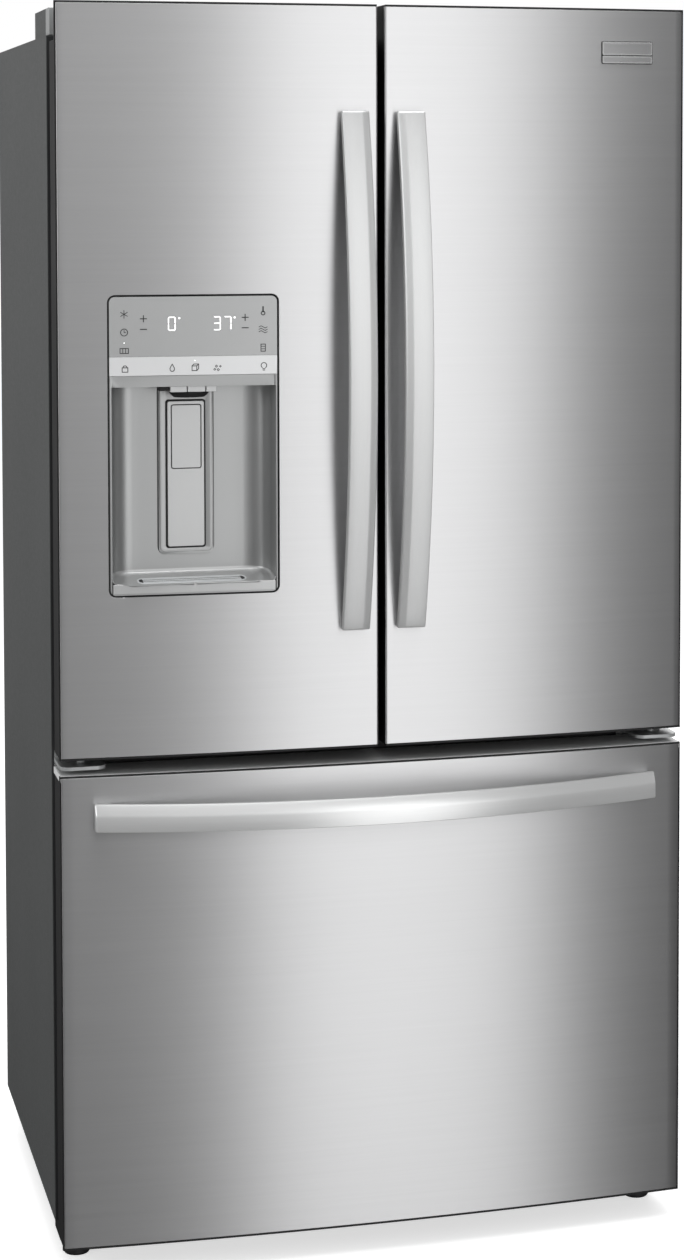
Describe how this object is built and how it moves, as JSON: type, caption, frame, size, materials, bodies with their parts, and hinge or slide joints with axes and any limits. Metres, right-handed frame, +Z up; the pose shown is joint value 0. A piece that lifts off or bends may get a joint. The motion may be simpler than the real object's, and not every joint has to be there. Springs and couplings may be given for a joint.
{
  "type": "french door refrigerator",
  "caption": "French door refrigerator with a bottom freezer drawer, bowed steel fronts, bar handles and a through-door water and ice dispenser.",
  "frame": {"origin": "on the floor, under the centre of the overall box", "axes": "+Z up, front towards -Y, +X to the right seen from the front"},
  "size_m": [0.908, 0.78, 1.775],
  "materials": {
    "stainless": "fine horizontal brush lines, satin",
    "satin_handle": "satin silver",
    "case_paint": "charcoal, lightly textured",
    "black_plastic": "matte black",
    "white_liner": "satin white",
    "clear_plastic": "clear, smooth",
    "shelf_glass": "clear glass in a pale frame",
    "dispenser_grey": "satin grey",
    "panel_grey": "smooth dark grey",
    "seal": "soft grey seal",
    "wheel": "hard rubber",
    "zinc_steel": "bright zinc",
    "compressor_black": "black enamel",
    "fin_aluminium": "plain fins",
    "foam_core": "dark satin front frame"
  },
  "bodies": {
    "cabinet": {"cabinet_core": "foam_core", "outer_case": "case_paint", "rear_panel": "zinc_steel", "fresh_food_liner": "white_liner", "freezer_liner": "white_liner", "base_pan": "zinc_steel", "machine_cover": "zinc_steel", "compressor": "compressor_black", "condenser": "compressor_black", "front_base_rail": "black_plastic", "top_hinge_left": "zinc_steel", "top_hinge_right": "zinc_steel", "hinge_cover_left": "case_paint", "hinge_cover_right": "case_paint", "middle_hinge_left": "zinc_steel", "middle_hinge_right": "zinc_steel", "ice_maker": "white_liner", "upper_shelf_left": "shelf_glass", "upper_shelf_right": "shelf_glass", "lower_shelf": "shelf_glass", "crisper_cover": "shelf_glass", "evaporator_cover": "white_liner", "evaporator": "fin_aluminium", "outer_rail_left": "zinc_steel", "outer_rail_right": "zinc_steel"},
    "left_door": {"left_door_body": "black_plastic", "left_door_skin": "stainless", "left_door_gasket": "seal", "left_door_handle": "satin_handle", "left_bin_lower": "clear_plastic", "left_bin_upper": "clear_plastic", "dispenser_housing": "dispenser_grey", "control_panel": "panel_grey", "dispenser_chute": "black_plastic"},
    "right_door": {"right_door_body": "black_plastic", "right_door_skin": "stainless", "right_door_gasket": "seal", "right_door_handle": "satin_handle", "right_bin_lower": "clear_plastic", "right_bin_upper": "clear_plastic"},
    "paddle": {"dispenser_paddle": "dispenser_grey"},
    "drip_tray": {"drip_tray": "dispenser_grey"},
    "mullion": {"mullion": "dispenser_grey"},
    "freezer_drawer": {"drawer_body": "black_plastic", "drawer_skin": "stainless", "drawer_gasket": "seal", "drawer_handle": "satin_handle", "drawer_tub": "white_liner", "drawer_frame": "zinc_steel"},
    "middle_rails": {"middle_rail_left": "zinc_steel", "middle_rail_right": "zinc_steel"},
    "freezer_basket": {"freezer_basket": "clear_plastic"},
    "left_crisper": {"crisper_left": "clear_plastic"},
    "right_crisper": {"crisper_right": "clear_plastic"},
    "condenser_fan": {"condenser_fan": "dispenser_grey"},
    "evaporator_fan": {"evaporator_fan": "dispenser_grey"},
    "left_foot": {"front_foot_left": "black_plastic"},
    "right_foot": {"front_foot_right": "black_plastic"},
    "left_roller": {"rear_roller_left": "wheel"},
    "right_roller": {"rear_roller_right": "wheel"}
  },
  "joints": [
    {"name": "left_door_hinge", "type": "hinge", "parent": "cabinet", "child": "left_door", "pos_m": [-0.42, -0.272, 0.738], "axis": [0, 0, 1], "range_deg": [-120, 0]},
    {"name": "right_door_hinge", "type": "hinge", "parent": "cabinet", "child": "right_door", "pos_m": [0.42, -0.272, 0.738], "axis": [0, 0, 1], "range_deg": [0, 120]},
    {"name": "paddle_pivot", "type": "hinge", "parent": "left_door", "child": "paddle", "pos_m": [-0.2691, -0.268, 1.218], "axis": [1, 0, 0], "range_deg": [0, 3], "stiffness_Nm_per_rad": 1.5, "springref_deg": -6.88},
    {"name": "drip_tray_slide", "type": "slide", "parent": "left_door", "child": "drip_tray", "axis": [0, -1, 0], "range_m": [0, 0.05]},
    {"name": "mullion_hinge", "type": "hinge", "parent": "left_door", "child": "mullion", "pos_m": [-0.017, -0.2125, 1.2], "axis": [0, 0, 1], "range_deg": [-90, 0]},
    {"name": "freezer_drawer_slide", "type": "slide", "parent": "cabinet", "child": "freezer_drawer", "axis": [0, -1, 0], "range_m": [0, 0.45]},
    {"name": "middle_rail_slide", "type": "slide", "parent": "cabinet", "child": "middle_rails", "axis": [0, -1, 0], "range_m": [0, 0.225]},
    {"name": "freezer_basket_slide", "type": "slide", "parent": "freezer_drawer", "child": "freezer_basket", "axis": [0, 1, 0], "range_m": [0, 0.09]},
    {"name": "left_crisper_slide", "type": "slide", "parent": "cabinet", "child": "left_crisper", "axis": [0, -1, 0], "range_m": [0, 0.07]},
    {"name": "right_crisper_slide", "type": "slide", "parent": "cabinet", "child": "right_crisper", "axis": [0, -1, 0], "range_m": [0, 0.07]},
    {"name": "condenser_fan_spin", "type": "hinge", "parent": "cabinet", "child": "condenser_fan", "pos_m": [0.06, 0.295, 0.145], "axis": [1, 0, 0], "continuous": true},
    {"name": "evaporator_fan_spin", "type": "hinge", "parent": "cabinet", "child": "evaporator_fan", "pos_m": [0, 0.27, 0.62], "axis": [0, 1, 0], "continuous": true},
    {"name": "left_foot_turn", "type": "hinge", "parent": "cabinet", "child": "left_foot", "pos_m": [-0.422, -0.209, 0.02], "axis": [0, 0, 1], "continuous": true},
    {"name": "right_foot_turn", "type": "hinge", "parent": "cabinet", "child": "right_foot", "pos_m": [0.422, -0.209, 0.02], "axis": [0, 0, 1], "continuous": true},
    {"name": "left_roller_spin", "type": "hinge", "parent": "cabinet", "child": "left_roller", "pos_m": [-0.38, 0.33, 0.02], "axis": [1, 0, 0], "continuous": true},
    {"name": "right_roller_spin", "type": "hinge", "parent": "cabinet", "child": "right_roller", "pos_m": [0.38, 0.33, 0.02], "axis": [1, 0, 0], "continuous": true}
  ],
  "couplings": [
    {"joint": "middle_rail_slide", "follows": "freezer_drawer_slide", "ratio": 0.5}
  ]
}
